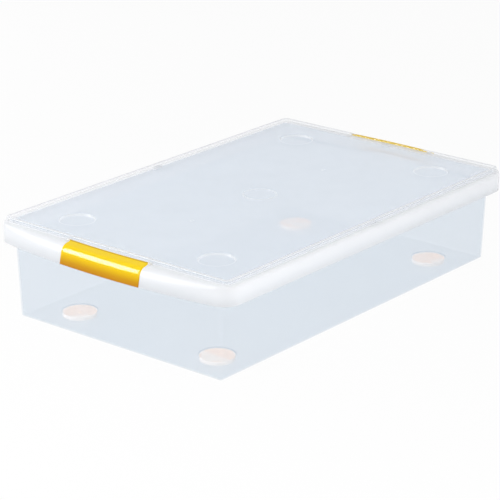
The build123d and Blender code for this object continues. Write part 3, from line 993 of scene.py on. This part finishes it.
def axle_finish(finishes):
    """The axles' bright drawn wire."""
    finish = Finish("axle_steel", Metallic=1.0, Base_Color=opaque(finishes.axle))
    point, _, _, _ = finish.place()
    stretch = {"Vector": point, "Scale": (2400.0, 60.0, 2400.0)}
    drawn = finish.node("ShaderNodeMapping", inputs=stretch)
    scratch = finish.noise(drawn, 1.0, 3.0)
    finish.set(Roughness=0.22 + 0.2 * scratch, Normal=finish.bump(scratch, 0.000004))
    return finish.material


# ---- Operators --------------------------------------------------------------------------


def dress(made, body, slot, material, *nodes):
    """Makes a piece ride on its body, stand for CAD nodes and wear its finish."""
    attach(made, body)
    made.data.materials.append(material)
    if nodes:
        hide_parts(*nodes)


def let_light_in(made):
    """Keeps a piece from shading the clear plastic round it, which real light enters all round."""
    made.visible_shadow = False
    made.visible_diffuse = False


class BOX_OT_lid(bpy.types.Operator):
    """Build the lid's rim, panel, lugs and tabs"""

    bl_idname = "box.lid"
    bl_label = "Lid"

    def execute(self, context):
        sizes, finishes = context.scene.box_lid, context.scene.box_finishes
        frosted = rim_finish("lid_rim_plastic", finishes, finishes.bead_share)
        steps = rim_finish("lid_step_plastic", finishes, finishes.step_share)
        rim = build_lid_rim(sizes)
        dress(rim, "lid", "lid_plastic", frosted, "lid")
        let_light_in(rim)
        panel = build_lid_panel(sizes)
        dress(panel, "lid", "lid_plastic", panel_finish(finishes))
        let_light_in(panel)
        dress(build_lugs(context.scene.box_buckle, sizes), "lid", "lid_plastic", steps)
        dress(build_tabs(sizes), "lid", "lid_plastic", steps)
        return {"FINISHED"}


class BOX_OT_buckles(bpy.types.Operator):
    """Build the two yellow buckles"""

    bl_idname = "box.buckles"
    bl_label = "Buckles"

    def execute(self, context):
        sizes, lid = context.scene.box_buckle, context.scene.box_lid
        material = buckle_finish(context.scene.box_finishes)
        for name, turned in (("buckle_far", False), ("buckle_near", True)):
            made = build_buckle(name + "_plate", sizes, lid, turned)
            dress(made, name, "buckle_plastic", material, name)
            let_light_in(made)
        return {"FINISHED"}


class BOX_OT_cad_finishes(bpy.types.Operator):
    """Give the tub and the castors their plastics"""

    bl_idname = "box.cad_finishes"
    bl_label = "Finish tub and castors"

    def execute(self, context):
        finishes = context.scene.box_finishes
        made = {
            "base_tub": clear_finish(finishes),
            "castor_housing": castor_finish(finishes),
            "castor_wheel": wheel_finish(finishes),
            "castor_axle": axle_finish(finishes),
        }
        made["castor_swivel"] = made["castor_housing"]
        for name, node in frame["nodes"].items():
            for start, material in made.items():
                if name.startswith(start):
                    node.data.materials.clear()
                    node.data.materials.append(material)
        let_light_in(frame["nodes"]["base_tub"])
        return {"FINISHED"}


def lamp(name, at, towards, size, power):
    """A soft lamp of a width and a height that faces a point."""
    light = bpy.data.lights.new(name, "AREA")
    light.shape = "RECTANGLE"
    light.size, light.size_y = size
    light.energy = power
    made = bpy.data.objects.new(name, light)
    made.location = at
    made.rotation_euler = (Vector(towards) - Vector(at)).to_track_quat("-Z", "Y").to_euler()
    bpy.context.scene.collection.objects.link(made)
    return made


class BOX_OT_stage(bpy.types.Operator):
    """Put the box on a white floor in soft light, and set the camera"""

    bl_idname = "box.stage"
    bl_label = "Stage"

    def execute(self, context):
        scene = context.scene
        stage = scene.box_stage
        half = stage.floor_half
        corner = np.array([[-half, -half, 0], [half, -half, 0], [half, half, 0], [-half, half, 0]])
        floor = make_object("studio_floor", corner, [np.array([[0, 1, 2, 3]])])
        finish = Finish("floor_white", Base_Color=(0.9, 0.9, 0.9, 1.0), Roughness=0.9)
        plain = finish.node("ShaderNodeEmission", inputs={"Color": (1, 1, 1, 1), "Strength": 1.0})
        lit = Value(finish, finish.shader.outputs[0])
        share = stage.floor_white * finish.seen()
        shown = finish.node("ShaderNodeMixShader", inputs={0: share, 1: lit, 2: plain})
        finish.feed(finish.tree.nodes["Material Output"].inputs["Surface"], shown)
        floor.data.materials.append(finish.material)

        world = bpy.data.worlds.new("studio_white")
        world.use_nodes = True
        scene.world = world
        air = Nodes(world.node_tree)
        sky = air.tree.nodes["Background"]
        air.feed(sky.inputs["Color"], (1, 1, 1, 1))
        air.feed(sky.inputs["Strength"], stage.sky + (1.0 - stage.sky) * air.seen())

        lamp("strip_lamp", (-2.08, 1.31, 0.61), (-0.37, 0, 0.15), (0.95, 0.36), stage.key)
        gleam = lamp("gleam_lamp", (-1.69, 1.42, 1.2), (-0.37, 0, 0.15), (0.95, 1.1), stage.gleam)
        gleam.visible_diffuse = False
        lamp("back_lamp", (0, 2.2, 0.35), (0, 0.2, 0.15), (1.6, 0.4), stage.back)
        lamp("broad_lamp", (-2.0, -1.6, 1.9), (0, 0, 0.1), (1.6, 1.2), stage.fill)

        camera = bpy.data.cameras.new("studio_camera")
        camera.lens = stage.lens
        camera.sensor_width = 36.0
        camera.clip_end = 60.0
        seat = bpy.data.objects.new("studio_camera", camera)
        seat.location = stage.camera_at
        seat.rotation_euler = (math.pi / 2 - stage.camera_tilt, 0, stage.camera_turn)
        scene.collection.objects.link(seat)
        scene.camera = seat
        scene.view_settings.view_transform = "Standard"
        scene.cycles.transparent_max_bounces = stage.bounces
        scene.cycles.diffuse_bounces = 8
        return {"FINISHED"}


class BOX_PT_looks(bpy.types.Panel):
    """The box's pieces in the sidebar"""

    bl_idname = "BOX_PT_looks"
    bl_label = "Under bed box"
    bl_space_type = "VIEW_3D"
    bl_region_type = "UI"
    bl_category = "Box"

    def draw(self, context):
        for step in STEPS:
            self.layout.operator(step.bl_idname)
        for group in SETTINGS:
            settings = getattr(context.scene, group)
            for key in settings.bl_rna.properties.keys():
                if key not in {"rna_type", "name"}:
                    self.layout.prop(settings, key)


SETTINGS = {
    "box_lid": LidSizes,
    "box_buckle": BuckleSizes,
    "box_finishes": Finishes,
    "box_stage": StageSettings,
}
STEPS = (BOX_OT_lid, BOX_OT_buckles, BOX_OT_cad_finishes, BOX_OT_stage)


def register():
    """Adds the settings, the operators and the panel."""
    for item in (*SETTINGS.values(), *STEPS, BOX_PT_looks):
        bpy.utils.register_class(item)
    for name, group in SETTINGS.items():
        setattr(bpy.types.Scene, name, PointerProperty(type=group))


def unregister():
    """Takes them away again."""
    for name in SETTINGS:
        delattr(bpy.types.Scene, name)
    for item in reversed((*SETTINGS.values(), *STEPS, BOX_PT_looks)):
        bpy.utils.unregister_class(item)


def main():
    register()
    for step in STEPS:
        group, name = step.bl_idname.split(".")
        getattr(getattr(bpy.ops, group), name)()


if __name__ == "__main__":
    main()
